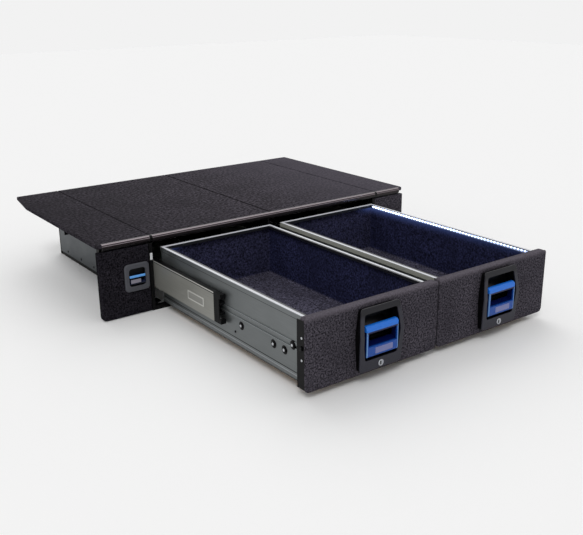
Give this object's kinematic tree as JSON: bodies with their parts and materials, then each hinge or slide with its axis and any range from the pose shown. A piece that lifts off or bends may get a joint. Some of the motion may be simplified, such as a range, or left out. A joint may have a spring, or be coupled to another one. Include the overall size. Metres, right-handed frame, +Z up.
{
  "type": "double drawer system",
  "caption": "Double drawer system for a vehicle's load floor: carpeted deck on a low housing, side wings, and drawers on full extension runners with pull handles.",
  "frame": {"origin": "on the floor under the middle of the housing, between the drawers and halfway along the deck", "axes": "+X to the right and +Y to the back as seen by a person who faces the open drawers, +Z up; the drawers open towards -Y"},
  "size_m": [1.519, 1.926, 0.3],
  "materials": {
    "carpeted_board": "charcoal carpet glued over plywood",
    "liner_carpet": "dark needle felt",
    "floor_ply": "sealed plywood",
    "anodised_trim": "satin brown grey anodised",
    "wall_aluminium": "satin anodised extrusion",
    "side_aluminium": "satin anodised extrusion",
    "runner_aluminium": "satin mill finish extrusion",
    "black_steel": "fine textured powder coat",
    "black_plastic": "moulded, fine grain",
    "grey_plastic": "moulded, fine grain",
    "blue_plastic": "moulded, semi gloss",
    "nylon": "moulded nylon",
    "zinc_steel": "zinc plated",
    "black_zinc": "black plated",
    "lock_chrome": "polished",
    "led_strip": "clear silicone over a row of lights"
  },
  "bodies": {
    "housing": {"deck_board_left": "carpeted_board", "deck_board_right": "carpeted_board", "wing_board_left": "carpeted_board", "wing_board_right": "carpeted_board", "wing_panel_right": "carpeted_board", "trim_centre": "anodised_trim", "trim_wings": "anodised_trim", "side_wall_left": "wall_aluminium", "side_wall_right": "wall_aluminium", "centre_wall": "wall_aluminium", "wall_end_caps": "black_plastic", "front_guides": "black_plastic", "floor_sills": "black_steel", "floor_rails": "black_steel", "floor_plates": "black_steel", "rear_panel": "black_steel", "wing_supports": "black_steel", "strike_plates": "zinc_steel", "wall_screws": "black_zinc", "hatch_hinges": "black_zinc"},
    "hatch": {"hatch_panel": "carpeted_board", "hatch_leaves": "black_zinc", "hatch_bezel": "grey_plastic"},
    "hatch_paddle": {"hatch_paddle": "blue_plastic"},
    "hatch_bolt": {"hatch_bolt": "zinc_steel"},
    "left_drawer": {"left_drawer_side_outer": "side_aluminium", "left_drawer_side_inner": "side_aluminium", "left_drawer_rear": "side_aluminium", "left_drawer_floor": "floor_ply", "left_drawer_liner": "liner_carpet", "left_drawer_front": "carpeted_board", "left_drawer_brackets": "black_steel", "left_drawer_shoes": "nylon", "left_drawer_bolts": "black_zinc", "left_bezel": "black_plastic"},
    "left_runners": {"left_runner_outer": "runner_aluminium", "left_runner_inner": "runner_aluminium", "left_runner_shoes": "nylon"},
    "left_rollers": {"left_rollers": "nylon"},
    "left_paddle": {"left_paddle": "blue_plastic"},
    "left_lock": {"left_lock": "lock_chrome"},
    "left_latch_bolt": {"left_latch_bolt": "zinc_steel"},
    "right_drawer": {"right_drawer_side_outer": "side_aluminium", "right_drawer_side_inner": "side_aluminium", "right_drawer_rear": "side_aluminium", "right_drawer_floor": "floor_ply", "right_drawer_liner": "liner_carpet", "right_drawer_front": "carpeted_board", "right_drawer_brackets": "black_steel", "right_drawer_shoes": "nylon", "right_drawer_bolts": "black_zinc", "right_bezel": "black_plastic", "light_strip": "led_strip"},
    "right_runners": {"right_runner_outer": "runner_aluminium", "right_runner_inner": "runner_aluminium", "right_runner_shoes": "nylon"},
    "right_rollers": {"right_rollers": "nylon"},
    "right_paddle": {"right_paddle": "blue_plastic"},
    "right_lock": {"right_lock": "lock_chrome"},
    "right_latch_bolt": {"right_latch_bolt": "zinc_steel"}
  },
  "joints": [
    {"name": "hatch_hinge", "type": "hinge", "parent": "housing", "child": "hatch", "pos_m": [-0.766, -0.4455, 0.1365], "axis": [0, 0, -1], "range_deg": [0, 100]},
    {"name": "hatch_paddle_hinge", "type": "hinge", "parent": "hatch", "child": "hatch_paddle", "pos_m": [-0.626, -0.4694, 0.129], "axis": [1, 0, 0], "range_deg": [0, 20], "stiffness_Nm_per_rad": 0.3, "springref_deg": -11.46},
    {"name": "hatch_bolt_slide", "type": "slide", "parent": "hatch", "child": "hatch_bolt", "axis": [-1, 0, 0], "range_m": [0, 0.009]},
    {"name": "left_drawer_slide", "type": "slide", "parent": "housing", "child": "left_drawer", "axis": [0, 1, 0], "range_m": [0, 0.951]},
    {"name": "left_runner_slide", "type": "slide", "parent": "housing", "child": "left_runners", "axis": [0, 1, 0], "range_m": [0, 0.526]},
    {"name": "left_roller_spin", "type": "hinge", "parent": "housing", "child": "left_rollers", "pos_m": [-0.2775, -0.3985, 0.0787], "axis": [1, 0, 0], "continuous": true},
    {"name": "left_paddle_hinge", "type": "hinge", "parent": "left_drawer", "child": "left_paddle", "pos_m": [-0.2775, -1.4402, 0.101], "axis": [1, 0, 0], "range_deg": [0, 28], "stiffness_Nm_per_rad": 1.5, "springref_deg": -11.46},
    {"name": "left_lock_turn", "type": "hinge", "parent": "left_drawer", "child": "left_lock", "pos_m": [-0.2775, -1.44, 0.064], "axis": [0, 1, 0], "range_deg": [0, 90]},
    {"name": "left_latch_slide", "type": "slide", "parent": "left_drawer", "child": "left_latch_bolt", "axis": [1, 0, 0], "range_m": [0, 0.008]},
    {"name": "right_drawer_slide", "type": "slide", "parent": "housing", "child": "right_drawer", "axis": [0, 1, 0], "range_m": [0, 0.951]},
    {"name": "right_runner_slide", "type": "slide", "parent": "housing", "child": "right_runners", "axis": [0, 1, 0], "range_m": [0, 0.526]},
    {"name": "right_roller_spin", "type": "hinge", "parent": "housing", "child": "right_rollers", "pos_m": [0.2775, -0.3985, 0.0787], "axis": [1, 0, 0], "continuous": true},
    {"name": "right_paddle_hinge", "type": "hinge", "parent": "right_drawer", "child": "right_paddle", "pos_m": [0.2775, -1.4402, 0.101], "axis": [1, 0, 0], "range_deg": [0, 28], "stiffness_Nm_per_rad": 1.5, "springref_deg": -11.46},
    {"name": "right_lock_turn", "type": "hinge", "parent": "right_drawer", "child": "right_lock", "pos_m": [0.2775, -1.44, 0.064], "axis": [0, 1, 0], "range_deg": [0, 90]},
    {"name": "right_latch_slide", "type": "slide", "parent": "right_drawer", "child": "right_latch_bolt", "axis": [-1, 0, 0], "range_m": [0, 0.008]}
  ],
  "couplings": [
    {"joint": "hatch_bolt_slide", "follows": "hatch_paddle_hinge", "m_per_rad": 0.02578},
    {"joint": "left_runner_slide", "follows": "left_drawer_slide", "ratio": 0.5531},
    {"joint": "left_roller_spin", "follows": "left_drawer_slide", "rad_per_m": -34.57},
    {"joint": "left_latch_slide", "follows": "left_paddle_hinge", "m_per_rad": 0.01637},
    {"joint": "right_runner_slide", "follows": "right_drawer_slide", "ratio": 0.5531},
    {"joint": "right_roller_spin", "follows": "right_drawer_slide", "rad_per_m": -34.57},
    {"joint": "right_latch_slide", "follows": "right_paddle_hinge", "m_per_rad": 0.01637}
  ]
}
